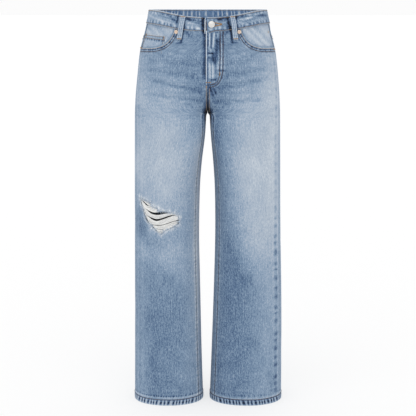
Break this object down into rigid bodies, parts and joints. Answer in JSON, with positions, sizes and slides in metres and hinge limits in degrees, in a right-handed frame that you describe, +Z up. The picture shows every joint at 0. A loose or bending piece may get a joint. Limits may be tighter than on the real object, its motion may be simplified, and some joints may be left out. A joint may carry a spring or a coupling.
{
  "type": "ripped wide-leg jeans",
  "caption": "Full-length wide-leg five-pocket jeans in washed blue denim, filled out and hollow, with a frayed rip across one knee.",
  "frame": {"origin": "middle of the waist opening, at the height of the waistband's top edge at the sides", "axes": "+Z up the body, +X towards the wearer's left, the front faces -Y"},
  "size_m": [0.4004, 0.2462, 1.045],
  "materials": {
    "washed_denim": "stone-washed blue twill with faded thighs and pale worn edges",
    "weft_thread": "bare off-white weft yarn",
    "topstitch": "washed tan and orange topstitching thread",
    "button_metal": "satin nickel",
    "rivet_metal": "worn copper-coloured metal"
  },
  "bodies": {
    "root": {"front_right": "washed_denim", "front_left": "washed_denim", "back_right": "washed_denim", "back_left": "washed_denim", "yoke_right": "washed_denim", "yoke_left": "washed_denim", "knee_weft": "weft_thread", "pocket_facing_right": "washed_denim", "pocket_facing_left": "washed_denim", "coin_pocket": "washed_denim", "back_pocket_right": "washed_denim", "back_pocket_left": "washed_denim", "waistband": "washed_denim", "button": "button_metal", "rivet_right": "rivet_metal", "rivet_left": "rivet_metal", "belt_loop_front_right": "washed_denim", "belt_loop_front_left": "washed_denim", "belt_loop_back_right": "washed_denim", "belt_loop_back_left": "washed_denim", "belt_loop_centre_back": "washed_denim"}
  },
  "joints": []
}
